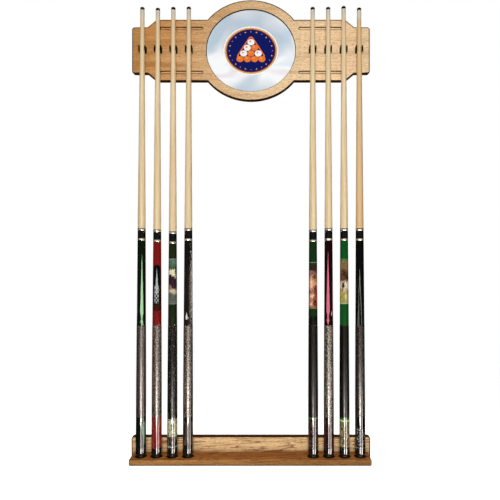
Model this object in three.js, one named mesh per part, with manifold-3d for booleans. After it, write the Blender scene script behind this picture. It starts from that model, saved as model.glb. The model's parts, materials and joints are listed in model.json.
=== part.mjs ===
// Wall cue rack: an upper board with an oval mirror medallion and eight open-front cue clips, and a
// tray board with a recessed shelf that the cue butts stand in. Eight cues stand in the rack.
// Millimetres. +Z is up, +X is to the right and the wall is the plane y = 0, with the room at -Y.
// The origin is the centre of the upper board's back face.
import * as THREE from 'three';
import { mergeVertices } from 'three/addons/utils/BufferGeometryUtils.js';
import Module from 'manifold-3d';

const wasm = await Module();
wasm.setup();

// ---- Driving dimensions ----
const GAP = 0.3;                 // clearance kept between touching pieces
const BOARD = 19;                // thickness of every board
const EASE = 1.6;                // eased edge of the boards

const UPPER = { halfWidth: 394, tabHalf: 77, fullHalf: 102, shoulderIn: 312, shoulderOut: 342, corner: 9 };
const MEDALLION = { a: 181.5, b: 166.5 };          // half-axes of the wooden oval
const MIRROR = { a: 147.5, b: 135.8, thick: 3, sunk: 4.2, backing: 3 };
const GROOVE = { near: 163, far: 296, height: 72.8, radius: 4.4, depth: 3 };

const TRAY = { halfWidth: 396, top: -1278.5, bottom: -1348, corner: 10 };
const SHELF = { halfWidth: 387, top: -1329, front: 90, corner: 5 };
const RECESS = { radius: 19.5, depth: 8.5, forward: 55 };

const INCH = 25.4;
const CUE_PITCH = 2 * INCH;
const FIRST_CUE = 8 * INCH;      // from the middle of the rack to the innermost cue
const CLIP = { z: -2, height: 18.5, halfWidth: 11.4, prong: 3, base: 3.5, reach: 26.8, shaftForward: 36 };
const CLIP_SCREW = { shank: 1.7, head: 3.6, headHeight: 2.2, length: 19, point: 4 };
const SHELF_SCREW = { shank: 2.1, head: 4.2, headHeight: 2.4, length: 44, point: 5, x: 300 };
const HANGER = { halfWidth: 10, halfHeight: 18, thick: 2, eye: 4.75, eyeDrop: 7, neck: 2.3, neckRise: 8 };
const HANGER_POCKET = { halfWidth: 6.5, halfHeight: 15, depth: 8.5 };
const HANGER_X = 8 * INCH;       // both pairs of hangers sit on studs 16 inches apart
const HANGER_Z = { upper: 45, lower: -1303.5 };

const CUE = {
  footLift: 0.45, bumperHeight: 14, bumperRadius: 15.2, bumperEdge: 4.7,
  buttRadius: 16.6, capRadius: 16.1, wrapLow: 136, wrapHigh: 431, wrapLowRadius: 16.2, wrapHighRadius: 14.9,
  forearmRadius: 14.6, jointRadius: 12.8, pinRadius: 4, pinLength: 24,
  ferruleLength: 28, tipLength: 10, tipRadius: 7,
};
// Overall length and butt length of each cue, from left to right.
const CUES = [
  { length: 1473, butt: 739, paint: 0x10130f }, { length: 1470, butt: 734, paint: 0x7c1616 },
  { length: 1473, butt: 728, paint: 0x16321c }, { length: 1474, butt: 738, paint: 0x191512 },
  { length: 1473, butt: 734, paint: 0x14381f }, { length: 1473, butt: 739, paint: 0x2a070b },
  { length: 1476, butt: 738, paint: 0x12581f }, { length: 1471, butt: 738, paint: 0x131313 },
];
const ROUND = 16;                // sides of a cue
const SCREW_SIDES = 10;
const OVAL = 72;                 // sides of a full oval
const CURVE = 3;                 // steps along a rounded corner

const floorZ = SHELF.top - RECESS.depth;
const boardFront = -BOARD;
const clipBack = boardFront - GAP;
const lean = Math.atan2(RECESS.forward - CLIP.shaftForward, CLIP.z - floorZ);

// ---- Materials ----
const paint = (color, roughness, metalness = 0) =>
  new THREE.MeshStandardMaterial({ color, roughness, metalness });
const oak = paint(0xc99a64, 0.45);
const oakTray = paint(0xb98550, 0.45);
const glass = paint(0xdfe4ee, 0.05, 1);
const hardboard = paint(0x6b4a2e, 0.9);
const clipPlastic = paint(0x111111, 0.4);
const steel = paint(0xa9abad, 0.35, 1);
const maple = paint(0xe8d3a6, 0.3);
const leather = paint(0x15181d, 0.8);
const rubber = paint(0x0c0c0c, 0.7);

// ---- Solids ----
// A closed mesh with shared vertices, as a solid that can be joined or cut.
function solid(geometry) {
  const bare = new THREE.BufferGeometry();
  bare.setAttribute('position', geometry.attributes.position);
  bare.setIndex(geometry.index);
  const merged = mergeVertices(bare, 1e-4);
  const triangles = [];
  for (let i = 0; i < merged.index.count; i += 3) {
    const [a, b, c] = [0, 1, 2].map((k) => merged.index.getX(i + k));
    if (a !== b && b !== c && c !== a) triangles.push(a, b, c);
  }
  return new wasm.Manifold(new wasm.Mesh({
    numProp: 3,
    vertProperties: new Float32Array(merged.attributes.position.array),
    triVerts: new Uint32Array(triangles),
  }));
}

function cut(geometry, tools) {
  let body = solid(geometry);
  for (const tool of tools) body = body.subtract(solid(tool));
  const mesh = body.getMesh();
  const result = new THREE.BufferGeometry();
  result.setAttribute('position', new THREE.BufferAttribute(mesh.vertProperties, 3));
  result.setIndex(new THREE.BufferAttribute(mesh.triVerts, 1));
  return result;
}

// A flat piece drawn in the front view (x, z) and extruded towards the room, with eased edges.
function frontPiece(shape, backY, thickness, ease = 0) {
  const geometry = new THREE.ExtrudeGeometry(shape, {
    depth: thickness - 2 * ease, curveSegments: CURVE, steps: 1,
    bevelEnabled: ease > 0, bevelThickness: ease, bevelSize: ease, bevelOffset: -ease, bevelSegments: 1,
  });
  geometry.translate(0, 0, ease);
  geometry.rotateX(Math.PI / 2);
  geometry.translate(0, backY, 0);
  return geometry;
}

// A piece drawn in the plan view (x, y) and extruded upwards.
function planPiece(shape, bottomZ, height) {
  const geometry = new THREE.ExtrudeGeometry(shape, {
    depth: height, curveSegments: CURVE, steps: 1, bevelEnabled: false,
  });
  geometry.translate(0, 0, bottomZ);
  return geometry;
}

// A turned piece: [radius, height] points from the bottom of the axis to its top, along +Z.
function turned(points, sides = ROUND) {
  const profile = points.map(([radius, height]) => new THREE.Vector2(radius, height));
  return new THREE.LatheGeometry(profile, sides).rotateX(Math.PI / 2);
}

function ellipse(a, b) {
  const shape = new THREE.Shape();
  for (let i = 0; i < OVAL; i += 1) {
    const turn = (i / OVAL) * 2 * Math.PI;
    const point = [a * Math.cos(turn), b * Math.sin(turn)];
    if (i === 0) shape.moveTo(...point);
    else shape.lineTo(...point);
  }
  shape.closePath();
  return shape;
}

function roundedRectangle(left, bottom, right, top, radius) {
  const shape = new THREE.Shape();
  shape.moveTo(left + radius, bottom);
  shape.lineTo(right - radius, bottom);
  shape.absarc(right - radius, bottom + radius, radius, -Math.PI / 2, 0);
  shape.lineTo(right, top - radius);
  shape.absarc(right - radius, top - radius, radius, 0, Math.PI / 2);
  shape.lineTo(left + radius, top);
  shape.absarc(left + radius, top - radius, radius, Math.PI / 2, Math.PI);
  shape.lineTo(left, bottom + radius);
  shape.absarc(left + radius, bottom + radius, radius, Math.PI, 1.5 * Math.PI);
  return shape;
}

const rack = new THREE.Group();

function place(name, geometry, material, parent = rack) {
  const mesh = new THREE.Mesh(geometry, material);
  mesh.name = name;
  parent.add(mesh);
  return mesh;
}

// ---- Upper board ----
// One side of the outline, from where the oval leaves the straight edge to the end tab's corner.
function upperOutline() {
  const { halfWidth, tabHalf, fullHalf, shoulderIn, shoulderOut, corner } = UPPER;
  const meet = Math.asin(fullHalf / MEDALLION.b);
  const steps = 28;
  const shape = new THREE.Shape();
  const oval = (from, to, first) => {
    for (let i = 0; i <= steps; i += 1) {
      const turn = from + ((to - from) * i) / steps;
      const point = [MEDALLION.a * Math.cos(turn), MEDALLION.b * Math.sin(turn)];
      if (first && i === 0) shape.moveTo(...point);
      else shape.lineTo(...point);
    }
  };
  oval(meet, Math.PI - meet, true);
  shape.lineTo(-shoulderIn, fullHalf);
  shape.lineTo(-shoulderOut, tabHalf);
  shape.absarc(-halfWidth + corner, tabHalf - corner, corner, Math.PI / 2, Math.PI);
  shape.absarc(-halfWidth + corner, -tabHalf + corner, corner, Math.PI, 1.5 * Math.PI);
  shape.lineTo(-shoulderOut, -tabHalf);
  shape.lineTo(-shoulderIn, -fullHalf);
  oval(Math.PI + meet, 2 * Math.PI - meet, false);
  shape.lineTo(shoulderIn, -fullHalf);
  shape.lineTo(shoulderOut, -tabHalf);
  shape.absarc(halfWidth - corner, -tabHalf + corner, corner, -Math.PI / 2, 0);
  shape.absarc(halfWidth - corner, tabHalf - corner, corner, 0, Math.PI / 2);
  shape.lineTo(shoulderOut, tabHalf);
  shape.lineTo(shoulderIn, fullHalf);
  shape.closePath();
  return shape;
}

const cueX = (number) => {
  const fromMiddle = number <= 4 ? 5 - number : number - 4;
  return Math.sign(number - 4.5) * (FIRST_CUE + (fromMiddle - 1) * CUE_PITCH);
};
const cueNumbers = [1, 2, 3, 4, 5, 6, 7, 8];

// A screw that points into the wall: the head's underside is at height 0 of the profile.
function screw({ shank, head, headHeight, length, point }, grow = 0) {
  return turned([
    [0, -length - grow], [shank + grow, point - length - grow], [shank + grow, -grow],
    [head + grow, -grow], [head * 0.72 + grow, headHeight + grow], [0, headHeight + grow],
  ], SCREW_SIDES).rotateX(Math.PI / 2);
}

// A countersunk screw: the head's flat top is at height 0 and the shank runs down from it.
function countersunk({ shank, head, headHeight, length, point }, grow = 0) {
  return turned([
    [0, -length - grow], [shank + grow, point - length - grow], [shank + grow, -headHeight - grow],
    [head + grow, grow], [0, grow],
  ], SCREW_SIDES);
}

function hangerPocket(x, z) {
  const shallow = frontPiece(roundedRectangle(
    x - HANGER.halfWidth - GAP, z - HANGER.halfHeight - GAP,
    x + HANGER.halfWidth + GAP, z + HANGER.halfHeight + GAP, 2), 1, 1 + HANGER.thick + GAP);
  const deep = frontPiece(roundedRectangle(
    x - HANGER_POCKET.halfWidth, z - HANGER_POCKET.halfHeight,
    x + HANGER_POCKET.halfWidth, z + HANGER_POCKET.halfHeight, 4), 1, 1 + HANGER_POCKET.depth);
  return [shallow, deep];
}

function groove(side, up) {
  const [a, b] = side > 0 ? [GROOVE.near, GROOVE.far] : [-GROOVE.far, -GROOVE.near];
  const z = up * GROOVE.height;
  const outline = roundedRectangle(a - GROOVE.radius, z - GROOVE.radius, b + GROOVE.radius,
    z + GROOVE.radius, GROOVE.radius);
  return frontPiece(outline, boardFront + GROOVE.depth, GROOVE.depth + 1);
}

function upperBoard() {
  const mirrorDepth = MIRROR.sunk + MIRROR.thick + MIRROR.backing + 2 * GAP;
  const tools = [frontPiece(ellipse(MIRROR.a, MIRROR.b), boardFront + mirrorDepth, mirrorDepth + 1)];
  for (const side of [-1, 1]) {
    for (const up of [-1, 1]) tools.push(groove(side, up));
    tools.push(...hangerPocket(side * HANGER_X, HANGER_Z.upper));
  }
  for (const number of cueNumbers) {
    tools.push(screw(CLIP_SCREW, GAP).translate(cueX(number), clipScrewSeat, CLIP.z));
  }
  return cut(frontPiece(upperOutline(), 0, BOARD, EASE), tools);
}

// ---- Clips ----
const clipScrewSeat = clipBack - CLIP.base - GAP;

function clip() {
  const { halfWidth, prong, base, reach } = CLIP;
  const tip = prong / 2;
  const inner = halfWidth - prong;
  const fillet = 2.5;
  const corner = 1.5;
  const shape = new THREE.Shape();
  shape.moveTo(halfWidth - corner, 0);
  shape.absarc(halfWidth - corner, -corner, corner, Math.PI / 2, 0, true);
  shape.absarc(halfWidth - tip, tip - reach, tip, 0, -Math.PI, true);
  shape.absarc(inner - fillet, -base - fillet, fillet, 0, Math.PI / 2);
  shape.absarc(fillet - inner, -base - fillet, fillet, Math.PI / 2, Math.PI);
  shape.absarc(tip - halfWidth, tip - reach, tip, 0, -Math.PI, true);
  shape.absarc(corner - halfWidth, -corner, corner, Math.PI, Math.PI / 2, true);
  shape.closePath();
  const body = planPiece(shape, -CLIP.height / 2, CLIP.height);
  return cut(body, [screw(CLIP_SCREW, GAP).translate(0, -CLIP.base - GAP, 0)]);
}

// ---- Hangers ----
function hanger() {
  const { halfWidth, halfHeight, thick, eye, eyeDrop, neck, neckRise } = HANGER;
  const shape = roundedRectangle(-halfWidth, -halfHeight, halfWidth, halfHeight, 2);
  const meet = Math.asin(neck / eye);
  const hole = new THREE.Path();
  hole.absarc(0, -eyeDrop, eye, Math.PI / 2 + meet, 2.5 * Math.PI - meet);
  hole.absarc(0, neckRise, neck, 0, Math.PI);
  hole.closePath();
  shape.holes.push(hole);
  return frontPiece(shape, 0, thick);
}

// ---- Tray ----
function trayBoard() {
  const { halfWidth, top, bottom, corner } = TRAY;
  const shape = new THREE.Shape();
  shape.moveTo(-halfWidth, bottom);
  shape.lineTo(halfWidth, bottom);
  shape.absarc(halfWidth - corner, top - corner, corner, 0, Math.PI / 2);
  shape.absarc(corner - halfWidth, top - corner, corner, Math.PI / 2, Math.PI);
  shape.closePath();
  const tools = shelfScrewPlaces().map(([x, z]) => countersunk(SHELF_SCREW, GAP)
    .rotateX(-Math.PI / 2).translate(x, -GAP, z));
  for (const side of [-1, 1]) tools.push(...hangerPocket(side * HANGER_X, HANGER_Z.lower));
  return cut(frontPiece(shape, 0, BOARD, EASE), tools);
}

function shelfScrewPlaces() {
  return [-SHELF_SCREW.x, 0, SHELF_SCREW.x].map((x) => [x, SHELF.top - BOARD / 2]);
}

function shelf() {
  const { halfWidth, top, front, corner } = SHELF;
  const back = boardFront - GAP;
  const shape = new THREE.Shape();
  shape.moveTo(halfWidth, back);
  shape.lineTo(-halfWidth, back);
  shape.absarc(corner - halfWidth, corner - front, corner, Math.PI, 1.5 * Math.PI);
  shape.absarc(halfWidth - corner, corner - front, corner, 1.5 * Math.PI, 2 * Math.PI);
  shape.closePath();
  const tools = cueNumbers.map((number) => turned([
    [0, floorZ], [RECESS.radius, floorZ], [RECESS.radius, top + 1], [0, top + 1],
  ], 24).translate(cueX(number), -RECESS.forward, 0));
  for (const [x, z] of shelfScrewPlaces()) {
    tools.push(countersunk(SHELF_SCREW, GAP).rotateX(-Math.PI / 2).translate(x, -GAP, z));
  }
  return cut(planPiece(shape, top - BOARD, BOARD), tools);
}

// ---- Cues: heights run up each cue's own axis from the foot of its bumper ----
function bumper() {
  const { bumperRadius: r, bumperEdge: e, bumperHeight: h } = CUE;
  const bend = [0.25, 0.5, 0.75].map((t) => (t * Math.PI) / 2);
  const edge = bend.map((a) => [r - e + e * Math.sin(a), e - e * Math.cos(a)]);
  return turned([[0, 0], [r - e, 0], ...edge, [r, e], [r, h], [0, h]]);
}

function butt({ butt: top }) {
  const low = CUE.bumperHeight + GAP;
  return turned([
    [0, low], [CUE.capRadius, low], [CUE.buttRadius, low + 6], [CUE.wrapLowRadius, CUE.wrapLow],
    [CUE.wrapHighRadius, CUE.wrapHigh], [CUE.forearmRadius, CUE.wrapHigh + 4], [CUE.jointRadius, top],
    [CUE.pinRadius, top], [CUE.pinRadius, top + CUE.pinLength], [0, top + CUE.pinLength],
  ]);
}

function shaft({ length, butt: top }) {
  const low = top + GAP;
  const high = length - CUE.tipLength - GAP;
  const bore = CUE.pinRadius + GAP;
  const boreEnd = top + CUE.pinLength + GAP;
  return turned([
    [0, boreEnd], [bore, boreEnd], [bore, low], [CUE.jointRadius, low],
    [CUE.tipRadius, high - CUE.ferruleLength], [CUE.tipRadius, high], [0, high],
  ]);
}

function tip({ length }) {
  const low = length - CUE.tipLength;
  const dome = [0.3, 0.65].map((t) => (t * Math.PI) / 2);
  const rise = 4;
  const curve = dome.map((a) => [CUE.tipRadius * Math.cos(a), length - rise + rise * Math.sin(a)]);
  return turned([[0, low], [CUE.tipRadius, low], [CUE.tipRadius, length - rise], ...curve, [0, length]]);
}

function cue(number) {
  const size = CUES[number - 1];
  const group = new THREE.Group();
  place(`cue_${number}_bumper`, bumper(), rubber, group);
  place(`cue_${number}_butt`, butt(size), paint(size.paint, 0.2), group);
  place(`cue_${number}_shaft`, shaft(size), maple, group);
  place(`cue_${number}_tip`, tip(size), leather, group);
  group.position.set(cueX(number), -RECESS.forward, floorZ + CUE.footLift);
  group.rotation.x = -lean;
  return group;
}

// ---- The rack ----
place('upper_board', upperBoard(), oak);
const backingBack = boardFront + MIRROR.sunk + MIRROR.thick + MIRROR.backing + GAP;
const fitted = ellipse(MIRROR.a - GAP, MIRROR.b - GAP);
place('mirror_backing', frontPiece(fitted, backingBack, MIRROR.backing), hardboard);
place('mirror_plate', frontPiece(fitted, backingBack - MIRROR.backing - GAP, MIRROR.thick), glass);
place('tray_back_board', trayBoard(), oakTray);
place('tray_shelf', shelf(), oakTray);

for (const [x, label] of [[-HANGER_X, 'left'], [HANGER_X, 'right']]) {
  for (const level of ['upper', 'lower']) {
    place(`${level}_hanger_${label}`, hanger(), steel).position.set(x, 0, HANGER_Z[level]);
  }
}
shelfScrewPlaces().forEach(([x, z], index) => {
  const body = countersunk(SHELF_SCREW).rotateX(-Math.PI / 2);
  place(`shelf_screw_${index + 1}`, body, steel).position.set(x, -GAP, z);
});
for (const number of cueNumbers) {
  place(`clip_${number}`, clip(), clipPlastic).position.set(cueX(number), clipBack, CLIP.z);
  place(`clip_screw_${number}`, screw(CLIP_SCREW), steel).position.set(cueX(number), clipScrewSeat, CLIP.z);
  rack.add(cue(number));
}

export default rack;
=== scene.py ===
import json
import math

import bmesh
import bpy
from mathutils import Matrix, Vector

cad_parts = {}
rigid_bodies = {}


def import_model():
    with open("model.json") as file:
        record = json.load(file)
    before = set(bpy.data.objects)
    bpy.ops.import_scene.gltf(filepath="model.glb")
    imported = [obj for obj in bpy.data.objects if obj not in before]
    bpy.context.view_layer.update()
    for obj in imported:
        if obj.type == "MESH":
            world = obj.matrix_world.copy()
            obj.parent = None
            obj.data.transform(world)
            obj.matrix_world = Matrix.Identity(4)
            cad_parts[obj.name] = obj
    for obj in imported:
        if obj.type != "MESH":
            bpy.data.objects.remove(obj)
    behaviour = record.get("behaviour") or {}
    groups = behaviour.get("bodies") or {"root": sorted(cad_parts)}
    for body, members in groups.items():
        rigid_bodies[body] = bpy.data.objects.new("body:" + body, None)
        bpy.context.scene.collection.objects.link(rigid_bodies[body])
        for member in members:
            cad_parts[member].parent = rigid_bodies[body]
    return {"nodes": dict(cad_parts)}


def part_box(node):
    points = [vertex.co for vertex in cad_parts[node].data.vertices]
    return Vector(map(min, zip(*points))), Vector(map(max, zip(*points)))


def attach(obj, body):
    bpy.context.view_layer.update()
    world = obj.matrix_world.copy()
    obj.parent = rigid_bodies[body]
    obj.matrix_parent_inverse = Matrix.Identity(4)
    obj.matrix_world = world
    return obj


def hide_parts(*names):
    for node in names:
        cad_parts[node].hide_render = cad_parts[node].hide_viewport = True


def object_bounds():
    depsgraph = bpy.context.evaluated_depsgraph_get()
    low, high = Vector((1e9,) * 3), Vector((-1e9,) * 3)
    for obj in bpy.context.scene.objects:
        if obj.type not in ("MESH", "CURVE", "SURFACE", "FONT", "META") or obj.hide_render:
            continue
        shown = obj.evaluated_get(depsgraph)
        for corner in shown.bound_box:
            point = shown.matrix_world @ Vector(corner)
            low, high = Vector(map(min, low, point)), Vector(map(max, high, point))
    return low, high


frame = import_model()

# Wall cue rack: oak boards, an oval mirror medallion, plastic clips and eight two-piece cues.
# Metres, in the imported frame: +Z up, +Y into the wall, origin at the middle of the upper board's back.
# Places and outer sizes come from the CAD boxes; the constants below are shapes inside them.

MM = 0.001
cad_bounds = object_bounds()

CAMERA_PLACE, LENS, SHIFT = (0.0566, -1.73, -0.6615), 37.19, -0.036
FLOOR_BELOW = 0.85
CARD_WARMTH = (1, 0.91, 0.84)

BOARD_EASE, EASE_DEEP = 4.6 * MM, 2.2 * MM
OVAL_HALF_WIDTH = 181.5 * MM
TAB_HALF, FULL_HALF = 77 * MM, 102 * MM
SHOULDER_IN, SHOULDER_OUT = 312 * MM, 342 * MM
TAB_CORNER = 9 * MM
GROOVE_NEAR, GROOVE_FAR, GROOVE_UP = 163 * MM, 296 * MM, 72.8 * MM
GROOVE_HALF, GROOVE_DEEP, GROOVE_FLARE = 4.4 * MM, 3 * MM, 2.6 * MM
TRAY_CORNER = 10 * MM
SHELF_CORNER, SHELF_EASE, UNDER_TOP = 5 * MM, 3 * MM, 4 * MM
FIT, GAP = 0.3 * MM, 0.3 * MM       # round a part in its pocket, and between two parts of a cue
PAST = 2 * MM                       # how far a cutter starts outside the face that it cuts
FLAT = 0.992                        # a board's face is an edge if it leans by more than this cosine
RECESS_RADIUS, RECESS_DEEP, RECESS_OUT = 19.5 * MM, 8.5 * MM, 55 * MM
EMBLEM = (87 * MM, 76.5 * MM)
HALO = (91.5 * MM, 81 * MM)

CLIP_PRONG, CLIP_BASE = 3 * MM, 3.5 * MM
WRAP_LOW, WRAP_HIGH = 136 * MM, 431 * MM
WRAP_LOW_RADIUS, WRAP_HIGH_RADIUS = 16.2 * MM, 14.9 * MM
BUMPER_TALL = 14 * MM
CAP_TALL = 22 * MM
JOINT_SLEEVE = 26 * MM
JOINT_RING = 5.5 * MM
COLLAR_RING, COLLAR_BLACK = 4.8 * MM, 2.4 * MM
BEAD_PROUD = 0.3 * MM
FERRULE_TALL, TIP_TALL = 28 * MM, 10 * MM
CUE_SIDES = 56
THREAD_PITCH = 1.2 * MM
PAINTED_RADIUS = 13.5 * MM

CUE_NUMBERS = range(1, 9)
SHELF_SCREWS = range(1, 4)
EVEN = (1, 1, 1)

# How bright the studio is, from straight down (0) past the horizon (0.5) to straight up (1), and how
# much of that is seen from in front of the rack (0) past its sides (0.5) to behind it (1).
STUDIO_UP = [(0, 0.04), (0.57, 0.05), (0.62, 0.9), (0.66, 1), (0.8, 1), (0.95, 0.5)]
SOFT_ROUND = [(0, 0.42), (0.22, 0.28), (0.42, 0.06), (0.58, 0.06), (0.75, 0.8)]
GLOSSY_ROUND = [(0, 1), (0.25, 0.9), (0.42, 0.1), (0.56, 0.03), (1, 0.03)]

# Each light's name, place, what it is aimed at, width and height, and power. A soft key in front and a fill
# behind, which aren't mirrored, and low cards and strips, seen only as reflections down the cues' handles.
SOFT_LIGHTS = [("key_in_front", (0.06, -2.3, -0.35), (0, 0, -0.6), (0.7, 0.7), 50),
               ("fill_behind", (0.5, 2.6, 0.5), (0, 0, -0.6), (2, 2), 70)]
CARDS = [("strip_by_the_camera", (0.06, -1.78, -1.68), (0, 0, -1.3), (0.12, 0.75), 20),
         ("strip_on_the_right", (0.87, -0.74, -1.52), (0, 0, -1.2), (0.16, 0.95), 12),
         ("card_between_them", (0.69, -1.4, -1.72), (0, 0, -1.25), (0.8, 0.6), 4),
         ("card_for_the_wraps", (0.05, -1.75, -1.45), (0, 0, -1), (1.5, 0.26), 44),
         ("card_below_it", (0.05, -1.75, -1.62), (0, 0, -1.2), (0.7, 0.2), 17)]


def paint(red, green, blue):
    """A colour given as it looks on a screen, from 0 to 255, as the linear light that nodes work in."""
    def linear(value):
        return value / 12.92 if value <= 0.04045 else ((value + 0.055) / 1.055) ** 2.4
    return tuple(linear(value / 255) for value in (red, green, blue))


# ---- node graphs
class Graph:
    """A node tree, with short calls for the nodes that the finishes and the studio use."""

    def __init__(self, tree):
        self.tree = tree

    def put(self, socket, value):
        if isinstance(value, bpy.types.NodeSocket):
            self.tree.links.new(value, socket)
        else:
            socket.default_value = (*value, 1) if socket.type == "RGBA" else value

    def fill(self, node, **inputs):
        for name, value in inputs.items():
            self.put(node.inputs[name.replace("_", " ")], value)

    def node(self, kind, settings=None, **inputs):
        made = self.tree.nodes.new("ShaderNode" + kind)
        for name, value in (settings or {}).items():
            setattr(made, name, value)
        self.fill(made, **inputs)
        return made

    def feed(self, kind, *values, settings=None):
        """The first output of a new node whose first inputs are the values."""
        made = self.node(kind, settings)
        for socket, value in zip(made.inputs, values):
            self.put(socket, value)
        return made.outputs[0]

    def op(self, operation, *values, clamp=False):
        return self.feed("Math", *values, settings={"operation": operation, "use_clamp": clamp})

    def times(self, *values, clamp=False):
        return self.op("MULTIPLY", *values, clamp=clamp)

    def span(self, value, low, high, to_low=0, to_high=1):
        """to_low where value is low or beyond, to_high where it is high or beyond, even in between."""
        return self.feed("MapRange", value, low, high, to_low, to_high)

    def mix(self, share, first, second, blend="MIX"):
        made = self.node("Mix", {"data_type": "RGBA", "blend_type": blend})
        for index, value in ((0, share), (6, first), (7, second)):
            self.put(made.inputs[index], value)
        return made.outputs[2]

    def ramp(self, value, *stops):
        """Each stop is a place along value and its colour, or one number for a grey."""
        made = self.node("ValToRGB", Fac=value)
        elements = made.color_ramp.elements
        while len(elements) < len(stops):
            elements.new(1)
        for element, (at, colour) in zip(elements, stops):
            element.position = at
            element.color = (*colour, 1) if hasattr(colour, "__len__") else (colour, colour, colour, 1)
        return made.outputs[0]

    def graded(self, share, colour, value, *greys):
        """A colour made darker and lighter by a ramp of greys."""
        return self.mix(share, colour, self.ramp(value, *greys), "MULTIPLY")


class Finish(Graph):
    """A material with one Principled shader, in the object's own coordinates."""

    def __init__(self, name, **settings):
        self.material = bpy.data.materials.new(name)
        self.material.use_nodes = True
        super().__init__(self.material.node_tree)
        self.shader = self.tree.nodes["Principled BSDF"]
        self.fill(self.shader, **settings)

    def axes(self):
        coords = self.node("TexCoord").outputs["Object"]
        return self.node("SeparateXYZ", Vector=coords).outputs

    def noise(self, density, scale, detail, rough, distort=0, offset=(0, 0, 0)):
        """Noise that is finer along an axis the larger its density there."""
        coords = self.node("TexCoord").outputs["Object"]
        place = self.node("Mapping", Vector=coords, Scale=density, Location=offset).outputs[0]
        made = self.node("TexNoise", Vector=place, Scale=scale, Detail=detail,
                         Roughness=rough, Distortion=distort)
        return made.outputs["Fac"]

    def bump(self, height, strength, distance):
        made = self.node("Bump", Height=height, Strength=strength, Distance=distance)
        self.fill(self.shader, Normal=made.outputs[0])

    def finish(self, colour, roughness):
        self.fill(self.shader, Base_Color=colour, Roughness=roughness)
        return self.material


# ---- materials
def oak(name, deep, pale, turn=0, cathedral=0, band=1, painted_shade=None):
    """Satin oak with the grain along X: growth bands, fine fibres and short dark pores, over painted light
    that runs from the deep colour at the left to the pale one at the right and lower down.
    A painted shade is darkest at its height, and gone by its reach above that."""
    g = Finish(name, Specular_IOR_Level=0.15)
    x, _, z = g.axes()
    bands = g.noise((0.5, 9, 9), 5, 4, 0.6, 1, (turn, turn, turn))
    figure = g.noise((0.55, 3, 7.5), 2.8, 4, 0.62, 0.9, (turn * 2, turn, turn))
    rings = g.op("FRACT", g.times(figure, 11))
    fibres = g.noise((5, 150, 150), 9, 6, 0.72)
    flecks = g.noise((18, 44, 44), 6, 4, 0.75, offset=(turn, 0, 0))
    pores = g.noise((18, 330, 330), 4, 2, 0.6)
    # Painted light: the oak goes from the deep colour to the pale one towards the right and lower down.
    lower = g.op("MULTIPLY_ADD", z, -0.5, x)
    painted_light_across = g.span(g.op("ADD", lower, g.span(bands, 0, 1, -0.16, 0.16)), -0.36, 0.14)
    tone = g.graded(0.6 * band, g.mix(painted_light_across, deep, pale), bands, (0.3, 0.66), (0.5, 1), (0.72, 1.18))
    late = g.times(g.ramp(rings, (0, 0.2), (0.06, 1), (0.2, 0.45), (0.5, 0)), cathedral)
    tone = g.mix(g.times(late, g.span(flecks, 0.35, 0.5, 0.4, 1)), tone, paint(120, 64, 28))
    tone = g.graded(0.9, tone, fibres, (0.3, 0.5), (0.55, 1.04), (0.8, 1.3))
    tone = g.graded(0.8, tone, flecks, (0.34, 0.52), (0.48, 1), (0.66, 1.2))
    tone = g.graded(0.7, tone, pores, (0.28, 0.38), (0.4, 1))
    if painted_shade:
        height, reach, share = painted_shade
        # Painted shade: dark brown, strongest at the given height and fading out upwards.
        tone = g.mix(g.span(z, height + reach, height, 0, share), tone, paint(84, 40, 14))
    g.bump(g.op("ADD", fibres, g.ramp(pores, (0.28, 0), (0.42, 0.6))), 0.3, 0.0003)
    return g.finish(tone, g.span(fibres, 0.2, 0.8, 0.6, 0.42))


def dark_edge_and_painted_shade():
    """The routed edge of a board, dark brown, a little worn to oak on its corners; the same dark brown is
    painted shade in grooves, pockets, the shelf's recesses and under the shelf.
    """
    g = Finish("oak_dark_edge_painted_shade", Specular_IOR_Level=0.1)
    grain = g.noise((4, 120, 120), 6, 5, 0.65)
    worn = g.span(g.noise(EVEN, 60, 4, 0.6), 0.56, 0.74, 0, 0.25)
    tone = g.ramp(grain, (0.25, paint(28, 12, 4)), (0.7, paint(74, 44, 20)))
    g.bump(grain, 0.3, 0.0003)
    return g.finish(g.mix(worn, tone, paint(140, 92, 52)), 0.5)


def mirror():
    """Silvered glass, with a painted reflection in its colour: faint clouds and streaks of blue, white and
    pink.
    """
    g = Finish("mirror_silver", Metallic=0.45, Coat_Weight=0.3, Coat_Roughness=0.02)
    # Painted reflection: soft clouds and streaks laid into the base colour; the clouds also set its
    # roughness.
    painted_reflection_clouds = g.noise((1, 1, 1.25), 7.5, 1, 0.4, 0.7, (0.31, 0, 0.12))
    painted_reflection_streaks = g.noise((1.3, 1, 2), 9, 1, 0.4, 0.5, (4, 2, 1))
    tone = g.ramp(painted_reflection_clouds, (0.36, paint(184, 201, 215)), (0.5, paint(214, 222, 230)),
                  (0.62, paint(248, 250, 251)))
    tone = g.mix(g.span(painted_reflection_streaks, 0.55, 0.72, 0, 0.6), tone, paint(228, 206, 214))
    tone = g.mix(g.span(painted_reflection_streaks, 0.45, 0.3, 0, 0.6), tone, paint(184, 210, 230))
    return g.finish(tone, g.span(painted_reflection_clouds, 0.3, 0.7, 0.03, 0.07))


def plain_finish(name, colour, roughness, grain, depth, variety=0.25, **settings):
    """Moulded or turned stuff: one colour with slight mottling, fine texture and uneven gloss."""
    g = Finish(name, **settings)
    fine = g.noise(EVEN, grain, 5, 0.65)
    broad = g.noise((1, 1, 0.4), grain * 0.12, 3, 0.5)
    dark = tuple(c * (1 - variety) for c in colour)
    light = tuple(min(1, c * (1 + variety)) for c in colour)
    tone = g.ramp(g.op("MULTIPLY_ADD", fine, 0.4, g.times(broad, 0.6)), (0.3, dark), (0.7, light))
    g.bump(fine, 0.3, depth)
    return g.finish(tone, g.span(broad, 0.3, 0.7, roughness * 0.8, roughness * 1.2))


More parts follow.
